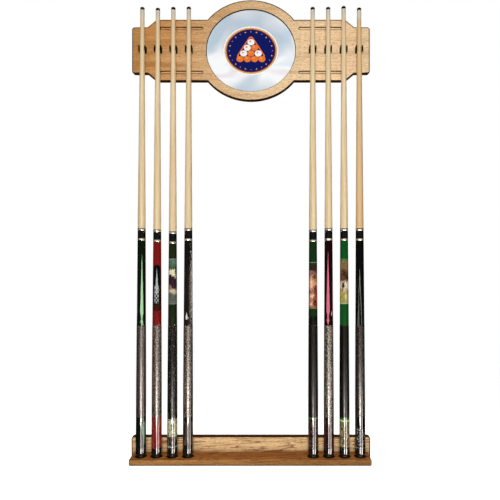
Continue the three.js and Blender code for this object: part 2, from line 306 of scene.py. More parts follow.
def brushed(name, colour):
    """Turned metal: fine rings left by the tool, running round the axis."""
    g = Finish(name, Metallic=0.85)
    rings = g.noise((30, 30, 2600), 1, 3, 0.6)
    tone = g.mix(g.span(rings, 0.3, 0.7), tuple(c * 0.82 for c in colour), colour)
    g.bump(rings, 0.15, 0.00005)
    return g.finish(tone, g.span(rings, 0.3, 0.7, 0.21, 0.364))


def maple(name, tint_share, warm):
    """Polished maple: pale, with long faint grain and a few sugar flecks; each shaft has its own tint."""
    g = Finish(name, Coat_Weight=0.3, Coat_Roughness=0.15)
    grain = g.noise((140, 140, 2.4), 3, 4, 0.6, 0.3, (warm * 9, 0, warm))
    tint = g.noise((30, 30, 1.2), 2, 2, 0.5, offset=(0, warm * 5, warm))
    flecks = g.noise((300, 300, 26), 4, 2, 0.6)
    tone = g.ramp(grain, (0.3, paint(206, 178, 132)), (0.52, paint(232, 208, 164)),
                  (0.75, paint(243, 224, 186)))
    tone = g.mix(g.span(tint, 0.45, 0.7, 0, tint_share), tone, paint(226, 190, 158))
    tone = g.mix(warm, tone, paint(214, 168, 106))
    tone = g.graded(0.5, tone, flecks, (0.26, 0.6), (0.38, 1))
    g.bump(grain, 0.12, 0.0001)
    return g.finish(tone, g.span(flecks, 0.2, 0.8, 0.4, 0.28))


def linen(name, ground, flecks, amount, gloss_high, gloss_low):
    """Linen thread wound round the handle, turn beside turn, flecked where two threads are twisted."""
    g = Finish(name, Specular_IOR_Level=0.05)
    x, y, z = g.axes()
    ground = paint(*ground)
    angle = g.op("DIVIDE", g.op("ARCTAN2", y, x), 2 * math.pi)
    turns = g.op("FRACT", g.op("ADD", g.op("DIVIDE", z, THREAD_PITCH), angle))
    thread = g.op("SINE", g.times(turns, math.pi))
    fibre = g.noise((1, 1, 2.2), 900, 4, 0.7)
    patch = g.noise((1, 1, 1.3), 260, 3, 0.6)
    tone = g.mix(g.span(fibre, 0.3, 0.7), tuple(c * 0.6 for c in ground), ground)
    tone = g.mix(g.span(patch, 0.64 - amount, 0.7 - amount), tone, paint(*flecks))
    # Painted shade: darker in the creases where one turn of thread meets the next.
    tone = g.graded(0.45, tone, thread, (0, 0.4), (0.6, 1))
    worn = g.op("POWER", g.span(z, WRAP_HIGH, WRAP_LOW), 2)
    polish = g.op("MULTIPLY_ADD", worn, gloss_low - gloss_high, gloss_high)
    weight = g.times(polish, g.span(patch, 0.4, 0.6, 0.4, 1.6), clamp=True)
    g.fill(g.shader, Coat_Weight=weight, Coat_Roughness=g.span(worn, 0, 1, 0.4, 0.2))
    g.bump(g.op("ADD", thread, g.times(fibre, 0.5)), 0.6, 0.0003)
    return g.finish(tone, g.span(fibre, 0.2, 0.8, 0.5, 0.34))


class Livery(Finish):
    """The lacquered decoration of a butt: colours laid over each other along and round its axis.
    Sizes are in millimetres, heights are from the foot, facings are in degrees from the front
    towards +X, and colours are as paint() takes them."""

    def __init__(self, name, ground):
        super().__init__(name, Specular_IOR_Level=0.04, Coat_Weight=1, Coat_Roughness=0.04)
        x, y, self.z = self.axes()
        self.angle = self.op("ARCTAN2", y, x)
        figure = self.noise((120, 120, 5), 3, 4, 0.6)
        ground = paint(*ground)
        self.tone = self.mix(self.span(figure, 0.3, 0.7), tuple(c * 0.6 for c in ground), ground)

    def lay(self, mask, colour):
        if isinstance(colour, tuple):
            colour = paint(*colour)
        self.tone = self.mix(mask, self.tone, colour)

    def rise(self, start, end):
        """From 0 at the height where it starts to 1 where it ends, upwards or downwards."""
        return self.span(self.z, start * MM, end * MM)

    def between(self, low, high, blur=0.3):
        return self.times(self.rise(low - blur, low + blur), self.rise(high + blur, high - blur))

    def band(self, low, high, colour, blur=0.3):
        self.lay(self.between(low, high, blur), colour)

    def rings(self, colour, *heights, tall=1.2):
        for height in heights:
            self.band(height, height + tall, colour)

    def marble(self, low, high, *colours, size=1, swirl=1.6, seed=0, stretch=0.7):
        cells = self.noise((1, 1, stretch), 75 / size, 5, 0.6, swirl, (seed, 0, seed))
        step = 0.32 / (len(colours) - 1)
        stops = [(0.34 + step * i, paint(*colour)) for i, colour in enumerate(colours)]
        self.lay(self.between(low, high), self.ramp(cells, *stops))

    def panel(self, low, high, *stops, wobble, size, seed, veins=0.6):
        """A painted panel whose colours follow each other upwards and run into each other like marbling."""
        warp = self.noise(EVEN, 70 / size, 4, 0.6, 0.8, (seed, seed, 0))
        height = self.op("ADD", self.z, self.span(warp, 0.3, 0.7, -wobble * MM / 2, wobble * MM / 2))
        colours = [(at, paint(*colour)) for at, colour in stops]
        tone = self.ramp(self.span(height, low * MM, high * MM), *colours)
        vein = self.noise((1, 1, 0.8), 190 / size, 4, 0.6, 2, (0, seed, seed))
        tone = self.graded(veins, tone, vein, (0.36, 0.22), (0.5, 1), (0.62, 1.9))
        self.lay(self.between(low, high), tone)

    def around(self, count, facing):
        """How far round a point is from the nearest of count evenly spaced facings, in metres."""
        turned = self.op("SUBTRACT", self.angle, math.radians(facing - 90))
        place = self.op("FRACT", self.op("MULTIPLY_ADD", turned, count / (2 * math.pi), 0.5))
        return self.times(self.op("SUBTRACT", place, 0.5), 2 * math.pi * PAINTED_RADIUS / count)

    def inside(self, shape, half_width, count, facing):
        """How far inside an outline a point is, in metres; shape is its share of half_width there."""
        width = self.times(shape, half_width * MM)
        return self.op("SUBTRACT", width, self.op("ABSOLUTE", self.around(count, facing)))

    def spears(self, low, high, half_width, colour, facing, count=4, edge=None, hollow=False,
               turned_over=False):
        """Long inlaid points with a small leaf at the foot; hollow ones are only an outline."""
        rise = self.rise(high, low) if turned_over else self.rise(low, high)
        shape = self.ramp(rise, (0, 0), (0.03, 0.42), (0.06, 0.85), (0.09, 0.42), (0.14, 0.5),
                          (0.18, 1), (0.45, 0.74), (1, 0))
        inside = self.inside(shape, half_width, count, facing)
        here = self.between(low, high)
        if edge:
            self.lay(self.times(self.span(inside, -1.6 * MM, -0.4 * MM), here), edge)
        fill = self.times(self.span(inside, -0.12 * MM, 0.12 * MM), here)
        if hollow:
            fill = self.times(fill, self.span(inside, 1.6 * MM, 1.2 * MM))
        self.lay(fill, colour)

    def window(self, low, high, half_width, colour, facing):
        """A tall opening with a pointed top, cut into the ground colour."""
        rise = self.rise(high - 24, high)
        arch = self.op("SQRT", self.op("SUBTRACT", 1, self.times(rise, rise), clamp=True))
        inside = self.inside(arch, half_width, 2, facing)
        self.lay(self.times(self.span(inside, -0.3 * MM, 0.3 * MM), self.between(low, high, 2.5)), colour)

    def lattice(self, low, high, half_width, colour, facing, pitch):
        """Crossing diagonal strands, like plaited cord."""
        aside = self.around(2, facing)
        strands = 0
        for lean in (1, -1):
            run = self.op("MULTIPLY_ADD", aside, lean / (pitch * MM),
                          self.op("DIVIDE", self.z, pitch * 1.5 * MM))
            off = self.op("ABSOLUTE", self.op("SUBTRACT", self.op("FRACT", run), 0.5))
            strands = self.op("MAXIMUM", self.span(off, 0.15, 0.09), strands)
        inside = self.span(self.op("ABSOLUTE", aside), half_width * MM, (half_width - 1) * MM)
        self.lay(self.times(self.times(strands, inside), self.between(low, high, 1.5)), colour)

    def blot(self, height, facing, tall, wide, colour, seed, ragged=0.9):
        """A spot with an irregular edge, like one stroke of a marbled paint."""
        down = self.op("DIVIDE", self.op("SUBTRACT", self.z, height * MM), tall * MM / 2)
        aside = self.op("DIVIDE", self.around(1, facing), wide * MM / 2)
        reach = self.op("SQRT", self.op("MULTIPLY_ADD", down, down, self.times(aside, aside)))
        frays = self.noise((1, 1, 0.7), 260, 5, 0.7, 1, (seed, 0, seed))
        edge = self.op("MULTIPLY_ADD", self.op("SUBTRACT", frays, 0.5), 4 * ragged, reach)
        self.lay(self.span(edge, 1.12, 0.9), colour)

    def strokes(self, odd, even, first_seed, *places):
        """Ragged blots in two colours by turns, each with its height, facing, tallness and width."""
        for i, place in enumerate(places):
            self.blot(*place, even if i % 2 else odd, first_seed + i, ragged=1.8)

    def lacquered(self):
        wear = self.noise((1, 1, 0.3), 40, 5, 0.6)
        scuff = self.noise((1, 1, 14), 90, 3, 0.7)
        orange_peel = self.times(self.noise((1, 1, 0.6), 330, 3, 0.7), self.between(30, 140))
        self.bump(self.op("MULTIPLY_ADD", orange_peel, 8, scuff), 0.05, 0.00006)
        return self.finish(self.tone, self.span(wear, 0.3, 0.7, 0.12, 0.24))


BLACK = (9, 8, 7)
WHITE = (232, 230, 224)


def livery_1(g):
    g.spears(429, 664, 4.7, (182, 222, 172), facing=19, edge=(16, 66, 24))
    g.spears(48, 124, 7.5, (96, 132, 98), facing=50, count=2, edge=(14, 60, 26), turned_over=True)
    g.blot(118, 20, 16, 8, (24, 70, 34), seed=2)


def livery_2(g):
    g.window(480, 628, 15, BLACK, facing=8)
    g.band(480, 500, (60, 22, 18), 6)
    g.spears(532, 618, 4.4, (172, 182, 178), facing=8, count=2, edge=(36, 62, 58))
    g.lattice(504, 562, 8, (190, 192, 186), facing=4, pitch=9)
    g.marble(30, 130, (92, 16, 16), (132, 36, 30), (168, 70, 60), size=0.3, swirl=0.6)


def livery_3(g):
    g.panel(503, 645, (0, (96, 104, 92)), (0.2, (92, 96, 84)), (0.27, (206, 190, 160)),
            (0.33, (120, 96, 76)), (0.37, (54, 34, 42)), (0.6, (50, 30, 38)),
            (0.63, (226, 214, 172)), (0.74, (222, 208, 164)), (0.78, (64, 92, 64)),
            (1, (86, 118, 100)), wobble=14, size=0.9, seed=7)
    g.blot(603, 14, 18, 16, (232, 222, 184), seed=3)
    g.blot(604, 78, 40, 15, (34, 50, 40), seed=6)
    g.blot(576, -74, 130, 8, (26, 34, 28), seed=8)
    g.blot(590, -20, 14, 10, (40, 24, 32), seed=5)
    g.blot(543, 22, 12, 14, (206, 186, 156), seed=7)
    g.blot(556, -30, 16, 9, (150, 110, 78), seed=4)
    g.rings((128, 140, 122), 500, 645, tall=2.6)
    g.marble(74, 126, (70, 72, 52), (150, 146, 104), (226, 220, 186), (120, 110, 90),
             size=1.1, seed=3)
    g.marble(22, 74, BLACK, (40, 30, 22), (120, 112, 100), size=0.8, seed=5, stretch=0.3)
    g.rings(WHITE, 41, 128, tall=1.6)


def livery_4(g):
    g.marble(436, 620, (14, 10, 7), (34, 27, 21), (24, 18, 13), size=0.4, seed=1)
    # Painted highlight: a tall light streak down the right side of the forearm, with a dimmer grey one inside
    # it.
    g.blot(540, 60, 190, 7, (204, 200, 190), seed=2, ragged=2.6)
    g.blot(520, 36, 120, 5, (110, 100, 88), seed=6, ragged=2.6)
    g.spears(450, 474, 3.6, WHITE, facing=-12, count=3)
    g.blot(456, 4, 8, 6, (150, 146, 138), seed=9)
    g.marble(48, 122, (14, 9, 5), (30, 22, 17), (84, 72, 63), (150, 134, 122),
             size=1, swirl=0.8, seed=5, stretch=0.18)


def livery_5(g):
    g.band(610, 634, (46, 38, 30))
    g.panel(489, 610, (0, (170, 96, 64)), (0.2, (190, 118, 88)), (0.36, (150, 70, 50)),
            (0.5, (146, 98, 84)), (0.62, (214, 140, 100)), (0.78, (176, 126, 84)),
            (0.9, (140, 100, 88)), (1, (96, 54, 52)), wobble=30, size=0.6, seed=1, veins=1)
    g.strokes((70, 26, 20), (240, 206, 170), 1, (590, 20, 14, 10), (566, -28, 30, 8), (548, 30, 22, 8),
              (528, -16, 14, 12), (508, 24, 26, 9), (500, -30, 10, 8))
    g.rings((132, 140, 116), 486, 634, tall=2)
    g.band(432, 460, (18, 17, 13), 4)
    g.marble(36, 130, (14, 8, 6), (38, 22, 20), (120, 88, 84), size=0.45, seed=2)
    g.band(130, 141, (70, 104, 52))
    g.rings((66, 92, 60), 34, 44, tall=3)


def livery_6(g):
    g.spears(434, 672, 5.1, (222, 118, 138), facing=-14, edge=(110, 20, 34))
    g.blot(470, 40, 14, 5, (206, 170, 160), seed=3)
    g.marble(28, 126, (26, 6, 6), (62, 26, 26), (24, 18, 16), size=0.6, seed=4)
    g.rings((120, 110, 92), 24, tall=3)


def livery_7(g):
    g.panel(505, 642, (0, (160, 152, 84)), (0.18, (166, 154, 70)), (0.3, (176, 156, 92)),
            (0.34, (226, 204, 176)), (0.48, (224, 200, 170)), (0.54, (96, 58, 38)),
            (0.74, (98, 70, 46)), (0.82, (128, 94, 58)), (1, (124, 112, 66)),
            wobble=14, size=0.7, seed=9, veins=0.9)
    g.strokes((236, 212, 184), (50, 30, 20), 4, (566, 18, 12, 14), (560, -24, 26, 8), (548, 2, 12, 9),
              (600, -8, 18, 10), (524, 16, 20, 6), (584, 34, 22, 8))
    g.rings((176, 182, 130), 501, tall=4)
    g.rings((84, 130, 74), 644, tall=3)
    g.band(102, 130, (112, 118, 78))
    g.marble(36, 106, (24, 18, 12), (70, 56, 38), (186, 168, 120), (34, 28, 20),
             size=0.7, seed=6)
    g.marble(26, 40, (30, 60, 50), BLACK, size=0.7)
    g.rings((196, 206, 130), 122, tall=6)


def livery_8(g):
    g.spears(330, 618, 8, (140, 140, 136), facing=-10, count=3, hollow=True)
    g.spears(330, 560, 2.2, (84, 82, 78), facing=-22, count=3)
    g.marble(40, 104, BLACK, BLACK, (30, 26, 22), (210, 206, 200), size=0.7, swirl=2.2, seed=8,
             stretch=0.5)
    g.rings(WHITE, 30, 38, tall=1)


# Each butt's ground colour, and what is laid over it.
LIVERIES = [((12, 24, 12), livery_1), ((140, 26, 26), livery_2), ((34, 44, 22), livery_3),
            ((26, 20, 15), livery_4), ((24, 54, 24), livery_5), ((30, 5, 7), livery_6),
            ((16, 90, 30), livery_7), ((9, 9, 9), livery_8)]
# Each handle's thread colour, its flecks, how many of them there are, and its gloss at the top and at the
# bottom, where hands have polished it.
WRAPS = [
    ((58, 49, 42), (92, 80, 72), 0.1, 0.7, 0.8),
    ((44, 35, 27), (136, 118, 104), 0.13, 0.55, 0.95),
    ((10, 7, 5), (190, 180, 174), 0.02, 0, 0.28),
    ((40, 31, 24), (150, 131, 116), 0.12, 0.7, 1),
    ((22, 18, 14), (66, 58, 50), 0.03, 0.01, 0.26),
    ((44, 35, 27), (162, 146, 128), 0.12, 0.6, 1),
    ((12, 9, 6), (56, 50, 43), 0.03, 0, 0.28),
    ((25, 20, 16), (84, 74, 66), 0.11, 0.12, 0.8),
]
# How pinkish and how honey-coloured each maple shaft is.
SHAFT_TINTS = [(0.5, 0), (0.3, 0.02), (0.4, 0.06), (0.4, 0.1), (0.2, 0), (0.2, 0), (0.3, 0), (0.3, 0.6)]


# ---- meshes
def oval(half_width, half_height, start=0, end=360, steps=180, x=0, y=0):
    """Points along an oval round x and y, or along part of it; the angles are in degrees."""
    count = steps if end - start == 360 else steps + 1
    turns = [math.radians(start + (end - start) * i / steps) for i in range(count)]
    return [(x + half_width * math.cos(t), y + half_height * math.sin(t)) for t in turns]


def arc(x, y, radius, start, end, steps=10):
    return oval(radius, radius, start, end, steps, x, y)


def rounded_box(left, low, right, high, radius, steps=8):
    return (arc(right - radius, low + radius, radius, -90, 0, steps)
            + arc(right - radius, high - radius, radius, 0, 90, steps)
            + arc(left + radius, high - radius, radius, 90, 180, steps)
            + arc(left + radius, low + radius, radius, 180, 270, steps))


def rounded_triangle(reach, radius):
    """An upright triangle with rounded corners, in the emblem's units."""
    points = []
    for turn, (x, y) in zip((-30, 90, 210), oval(0.62 * reach, 0.62 * reach, -30, 210, 2)):
        points += arc(x, y + 0.02, radius, turn - 60, turn + 60, 8)
    return points


def new_object(name, data, *materials):
    made = bpy.data.objects.new(name, data)
    bpy.context.scene.collection.objects.link(made)
    for material in materials:
        data.materials.append(material)
    return made


def evaluated(source):
    """The finished mesh of an object, with its modifiers applied; the object itself is removed."""
    bpy.context.view_layer.update()
    graph = bpy.context.evaluated_depsgraph_get()
    mesh = bpy.data.meshes.new_from_object(source.evaluated_get(graph))
    bpy.data.objects.remove(source)
    return mesh


def slab(outlines, thickness, ease, segments=4, deep=None):
    """A flat piece with rounded edges, drawn in x and y by its outline and holes, from z = 0 up.
    With deep, the rounding is only that deep, while it is as wide as ease."""
    curve = bpy.data.curves.new("slab", "CURVE")
    curve.dimensions = "2D"
    curve.fill_mode = "BOTH"
    curve.extrude = thickness / 2 - ease
    curve.bevel_depth = ease
    curve.bevel_resolution = segments
    curve.offset = -ease
    for outline in outlines:
        spline = curve.splines.new("POLY")
        spline.points.add(len(outline) - 1)
        for point, (x, y) in zip(spline.points, outline):
            point.co = (x, y, 0, 1)
        spline.use_cyclic_u = True
    mesh = evaluated(new_object("slab", curve))
    mesh.transform(Matrix.Translation((0, 0, thickness / 2)))
    work = bmesh.new()
    work.from_mesh(mesh)
    bmesh.ops.remove_doubles(work, verts=work.verts, dist=1e-6)
    bmesh.ops.dissolve_limit(work, angle_limit=0.001, verts=work.verts, edges=work.edges)
    bmesh.ops.recalc_face_normals(work, faces=work.faces)
    for vertex in work.verts if deep else ():
        from_below, from_above = vertex.co.z, thickness - vertex.co.z
        if from_below < ease + 1e-6:
            vertex.co.z = from_below * deep / ease
        elif from_above < ease + 1e-6:
            vertex.co.z = thickness - from_above * deep / ease
    work.to_mesh(mesh)
    work.free()
    return mesh


FRONTAL = Matrix(((1, 0, 0, 0), (0, 0, -1, 0), (0, 1, 0, 0), (0, 0, 0, 1)))


def face_room(mesh, y, x=0, z=0):
    """Stands a piece that was drawn flat up against a wall at y, with its top facing the room."""
    mesh.transform(Matrix.Translation((x, y, z)) @ FRONTAL)
    return mesh


def mm(*points):
    """Points that were given in millimetres, in metres."""
    return [(a * MM, b * MM) for a, b in points]


def mesh_of(work):
    """What is in a bmesh, as a mesh; the bmesh is freed."""
    mesh = bpy.data.meshes.new("mesh")
    work.to_mesh(mesh)
    work.free()
    return mesh


def walls(work, low, high):
    """The faces between two rings of vertices, one above the other."""
    around = [(i, (i + 1) % len(low)) for i in range(len(low))]
    return [work.faces.new((low[i], low[j], high[j], high[i])) for i, j in around]


def turned(profile, sides=CUE_SIDES, closed=False):
    """A turned piece round Z. Each profile entry is a radius, a height and the finish of the band above it,
    where that isn't the first. A closed profile goes back to its first entry."""
    work = bmesh.new()
    rings = []
    for radius, height, *_ in profile:
        points = oval(radius, radius, steps=sides if radius else 1)
        rings.append([work.verts.new((x, y, height)) for x, y in points])
    if closed:
        rings.append(rings[0])
    for low, high, (_, _, *finish) in zip(rings, rings[1:], profile):
        for i in range(sides):
            j = (i + 1) % sides
            corners = [low[i % len(low)], low[j % len(low)], high[j % len(high)], high[i % len(high)]]
            face = work.faces.new(list(dict.fromkeys(corners)))
            face.material_index = finish[0] if finish else 0
    bmesh.ops.recalc_face_normals(work, faces=work.faces)
    return mesh_of(work)


def flared_cutter(outline_at, depth, flare):
    """A cutter whose walls open outwards at the mouth, z = 0, by a small rounded flare."""
    levels = [(0, -depth)] + arc(flare, -flare, flare, 180, 90, 5) + [(flare, PAST)]
    work = bmesh.new()
    rings = [[work.verts.new((x, y, height)) for x, y in outline_at(grow)] for grow, height in levels]
    for low, high in zip(rings, rings[1:]):
        walls(work, low, high)
    work.faces.new(list(reversed(rings[0])))
    work.faces.new(rings[-1])
    bmesh.ops.recalc_face_normals(work, faces=work.faces)
    return mesh_of(work)


def carved(mesh, cutters):
    """mesh with every cutter taken out of it."""
    body = new_object("body", mesh)
    tools = []
    for index, cutter in enumerate(cutters):
        tool = new_object(f"tool_{index}", cutter)
        cut = body.modifiers.new(f"cut_{index}", "BOOLEAN")
        cut.operation = "DIFFERENCE"
        cut.solver = "EXACT"
        cut.object = tool
        tools.append(tool)
    result = evaluated(body)
    for tool in tools:
        bpy.data.objects.remove(tool)
    return result


def shade(piece, angle):
    piece.data.shade_smooth()
    piece.data.set_sharp_from_angle(angle=math.radians(angle))
    modifier = piece.modifiers.new("weighted", "WEIGHTED_NORMAL")
    modifier.keep_sharp = True
    return piece


def finished(piece, body, slot, *nodes):
    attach(piece, body)
    if nodes:
        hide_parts(*nodes)


# ---- the rack
def middle(node):
    """The middle of a CAD node's box."""
    return [(low + high) / 2 for low, high in zip(*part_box(node))]


def half_width(node):
    low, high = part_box(node)
    return (high.x - low.x) / 2


def rack_piece(name, mesh, materials, slot, node, smooth=38):
    piece = shade(new_object(name, mesh, *materials), smooth)
    finished(piece, "rack", slot, node)


def hanger_pockets(board):
    """A plate's recess and the deeper room for a screw head behind it, cut twice from the wall side."""
    cutters = []
    for name in (f"{board}_hanger_left", f"{board}_hanger_right"):
        low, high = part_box(name)
        x, _, z = middle(name)
        plate = rounded_box(low.x - FIT, low.z - FIT, high.x + FIT, high.z + FIT, 2 * MM)
        room = rounded_box(x - 6.5 * MM, z - 15 * MM, x + 6.5 * MM, z + 15 * MM, 4 * MM)
        for outline, depth in ((plate, 2.3 * MM), (room, 8.5 * MM)):
            cutters.append(face_room(slab([outline], depth + PAST, 0.2 * MM, 1), PAST))
    return cutters


def carved_board(node, outline, cutters, name, materials, slot):
    """A board with routed dark brown edges; every face but its front and back takes the second finish, which
    is painted shade on the walls of its grooves and pockets.
    """
    low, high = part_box(node)
    mesh = face_room(slab([outline], high.y - low.y, BOARD_EASE, 6, EASE_DEEP), high.y)
    mesh = carved(mesh, cutters)
    for face in mesh.polygons:
        if abs(face.normal.y) < FLAT:
            face.material_index = 1
    rack_piece(name, mesh, materials, slot, node)


def mirrored(points):
    """An outline from its right half; a point on the middle line isn't repeated."""
    return points + [(-x, y) for x, y in reversed(points) if x > 1e-9]


def upper_outline(half_wide, half_tall):
    meet = math.degrees(math.asin(FULL_HALF / half_tall))
    right = half_wide - TAB_CORNER
    up = TAB_HALF - TAB_CORNER
    return mirrored(
        oval(OVAL_HALF_WIDTH, half_tall, 270, 360 - meet, 45)
        + [(SHOULDER_IN, -FULL_HALF), (SHOULDER_OUT, -TAB_HALF)]
        + arc(right, -up, TAB_CORNER, -90, 0) + arc(right, up, TAB_CORNER, 0, 90)
        + [(SHOULDER_OUT, TAB_HALF), (SHOULDER_IN, FULL_HALF)]
        + oval(OVAL_HALF_WIDTH, half_tall, meet, 90, 45))


def groove_outline(side, up):
    """The outline of a decorative groove for each amount that it has opened towards its mouth."""
    near, far = sorted((side * GROOVE_NEAR, side * GROOVE_FAR))
    z = up * GROOVE_UP

    def at(grow):
        radius = GROOVE_HALF - GROOVE_FLARE + 1 * MM + grow
        return arc(far, z, radius, -90, 90, 12) + arc(near, z, radius, 90, 270, 12)
    return at


def make_upper_board(*materials):
    low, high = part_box("upper_board")
    glass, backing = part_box("mirror_plate")[1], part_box("mirror_backing")[1]
    pocket = flared_cutter(lambda grow: oval(glass.x + FIT + grow, glass.z + FIT + grow), backing.y - low.y,
                           1.4 * MM)
    cutters = [face_room(pocket, low.y)] + hanger_pockets("upper")
    for side in (-1, 1):
        for up in (-1, 1):
            groove = flared_cutter(groove_outline(side, up), GROOVE_DEEP, GROOVE_FLARE)
            cutters.append(face_room(groove, low.y))
    carved_board("upper_board", upper_outline(high.x, high.z), cutters, "board_with_medallion", materials,
                 "oak_upper")


def make_tray_board(*materials):
    low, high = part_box("tray_back_board")
    corner = arc(high.x - TRAY_CORNER, high.z - TRAY_CORNER, TRAY_CORNER, 0, 90)
    cutters = hanger_pockets("lower")
    for index in SHELF_SCREWS:
        x, _, z = middle(f"shelf_screw_{index}")
        seat = turned(mm((0, -1), (4.6, -1), (4.6, 0.4), (2.4, 2.8), (2.4, 30), (0, 30)), 32)
        cutters.append(face_room(seat, 0, x, z))
    carved_board("tray_back_board", mirrored([(high.x, low.z)] + corner), cutters, "tray_board", materials,
                 "oak_tray")


def make_shelf(wood, top, edge):
    low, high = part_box("tray_shelf")
    corner = arc(high.x - SHELF_CORNER, low.y + SHELF_CORNER, SHELF_CORNER, 270, 360)
    mesh = slab([mirrored(corner + [(high.x, high.y)])], high.z - low.z, SHELF_EASE)
    mesh.transform(Matrix.Translation((0, 0, low.z)))
    cutters = []
    for number in CUE_NUMBERS:
        recess = flared_cutter(lambda grow: oval(RECESS_RADIUS + grow, RECESS_RADIUS + grow, steps=72),
                               RECESS_DEEP, 1.2 * MM)
        recess.transform(Matrix.Translation((middle(f"cue_{number}_bumper")[0], -RECESS_OUT, high.z)))
        cutters.append(recess)
    mesh = carved(mesh, cutters)
    # The recesses' walls and floor, and the underside, take the dark brown as painted shade; the ends take it
    # like the boards' edges.
    for face in mesh.polygons:
        inside = face.center.y > low.y + SHELF_EASE and abs(face.center.x) < high.x - SHELF_EASE
        if inside and low.z + SHELF_EASE < face.center.z < high.z - UNDER_TOP:
            face.material_index = 2
        elif face.normal.z > 0.5 or inside:
            face.material_index = 1
        elif face.normal.z < -0.05 or abs(face.normal.x) > 0.6:
            face.material_index = 2
    rack_piece("shelf_with_recesses", mesh, [wood, top, edge], "oak_tray", "tray_shelf")


def make_plate(name, node, outlines, ease, segments, material, slot, smooth=38):
    """A flat piece as thick as its CAD node, with a small rounding on its edges."""
    low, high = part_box(node)
    mesh = face_room(slab(outlines, high.y - low.y, ease, segments), high.y)
    rack_piece(name, mesh, [material], slot, node, smooth)


def make_mirror():
    _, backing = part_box("mirror_backing")
    board = plain_finish("hardboard", (0.16, 0.09, 0.045), 0.85, 500, 0.0004)
    make_plate("mirror_hardboard", "mirror_backing", [oval(backing.x, backing.z)], 0.3 * MM, 2, board,
               "hardboard")
    _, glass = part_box("mirror_plate")
    make_plate("mirror_oval", "mirror_plate", [oval(glass.x, glass.z)], 0.5 * MM, 3, mirror(),
               "mirror_glass", 30)


def make_hanger(name, steel):
    low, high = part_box(name)
    x, _, z = middle(name)
    eye, neck = 4.75 * MM, 2.3 * MM
    meet = math.degrees(math.asin(neck / eye))
    keyhole = arc(x, z - 7 * MM, eye, 90 + meet, 450 - meet, 28) + arc(x, z + 8 * MM, neck, 0, 180, 10)
    outline = rounded_box(low.x, low.z, high.x, high.z, 2 * MM)
    make_plate(f"{name}_plate", name, [outline, keyhole], 0.3 * MM, 2, steel, "steel")


def prism(work, points, low, high, finish):
    """A thin flat shape in the emblem, between two heights."""
    bottom, top = ([work.verts.new((x, y, height)) for x, y in points] for height in (low, high))
    caps = [work.faces.new(list(reversed(bottom))), work.faces.new(top)]
    for face in caps + walls(work, bottom, top):
        face.material_index = finish


def make_emblem():
    """A print on the mirror: a white halo, an amber ring and a rack of ten balls on a navy field."""
    inks = {"white": (244, 243, 240), "amber": (224, 158, 98), "brown": (92, 44, 36), "navy": (12, 22, 92),
            "flame": (236, 118, 36)}
    layer = 0.05 * MM
    work = bmesh.new()

    def draw(points, level, ink, size=EMBLEM):
        """Prints a shape, drawn in shares of the oval's half width and height, on one of the layers."""
        scaled = [(x * size[0], y * size[1]) for x, y in points]
        prism(work, scaled, level * layer, (level + 1) * layer, list(inks).index(ink))

    def disc(x, y, radius, level, ink, steps):
        draw(oval(radius, radius, steps=steps, x=x, y=y), level, ink)

    draw(oval(1, 1, steps=96), 0, "white", HALO)
    for level, ink, radius in ((1, "amber", 1), (2, "brown", 0.94), (3, "navy", 0.9)):
        disc(0, 0, radius, level, ink, 96)
    draw(rounded_triangle(0.8, 0.1), 4, "flame")
    draw(rounded_triangle(0.72, 0.08), 5, "navy")
    ball = 0.135
    for row in range(4):
        for column in range(row + 1):
            x, y = (column - row / 2) * 2.06 * ball, 0.37 - row * 1.8 * ball
            disc(x, y, ball, 6, "white" if row < 3 and column != 1 else "flame", 28)
            disc(x - 0.03, y + 0.04, ball * 0.3, 7, "amber", 16)
    for index, (x, y) in enumerate(oval(0.82, 0.82, steps=24)):
        disc(x, y, 0.034 if index % 2 else 0.02, 4, "amber", 4)
    finishes = [plain_finish(f"print_{name}", paint(*ink), 0.5, 600, 0.00002, 0.1, Specular_IOR_Level=0.1)
                for name, ink in inks.items()]
    mesh = face_room(mesh_of(work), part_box("mirror_plate")[0].y - 0.02 * MM)
    finished(new_object("mirror_emblem", mesh, *finishes), "rack", None)


def cross_recess(head):
    """The four-armed driver recess of a screw head whose top is at the given height."""
    tools = []
    for turn in (0, 90):
        arm = rounded_box(-2 * MM, -0.45 * MM, 2 * MM, 0.45 * MM, 0.2 * MM, 3)
        slot = slab([arm], 2.4 * MM, 0.05 * MM, 1)
        turning = Matrix.Rotation(math.radians(turn), 4, "Z")
        slot.transform(Matrix.Translation((0, 0, head - 1.4 * MM)) @ turning)
        tools.append(slot)
    return tools


def make_clip_screw(number, steel):
    node = f"clip_screw_{number}"
    x, _, z = middle(node)
    radius, tall = half_width(node), 2.2 * MM
    dome = [(radius * math.cos(math.radians(a)), tall * (0.3 + 0.7 * math.sin(math.radians(a))))
            for a in (0, 20, 40, 60, 78)]
    mesh = turned(mm((0, -19), (1.7, -15), (1.7, 0)) + [(radius, 0)] + dome + [(0, tall)], 32)
    mesh = carved(mesh, cross_recess(tall))
    face_room(mesh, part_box(node)[0].y + tall, x, z)
    rack_piece(f"pan_head_screw_{number}", mesh, [steel], "steel", node)


def make_shelf_screw(index, steel):
    node = f"shelf_screw_{index}"
    x, _, z = middle(node)
    radius, rim = half_width(node), 0.1 * MM
    mesh = turned(mm((0, -44), (2.1, -39), (2.1, -2.4)) + [(radius, -rim), (radius - rim, 0), (0, 0)], 32)
    mesh = carved(mesh, cross_recess(0))
    turn = Matrix.Rotation(math.radians(-90), 4, "X")
    mesh.transform(Matrix.Translation((x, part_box(node)[1].y, z)) @ turn)
    rack_piece(f"countersunk_screw_{index}", mesh, [steel], "steel", node)


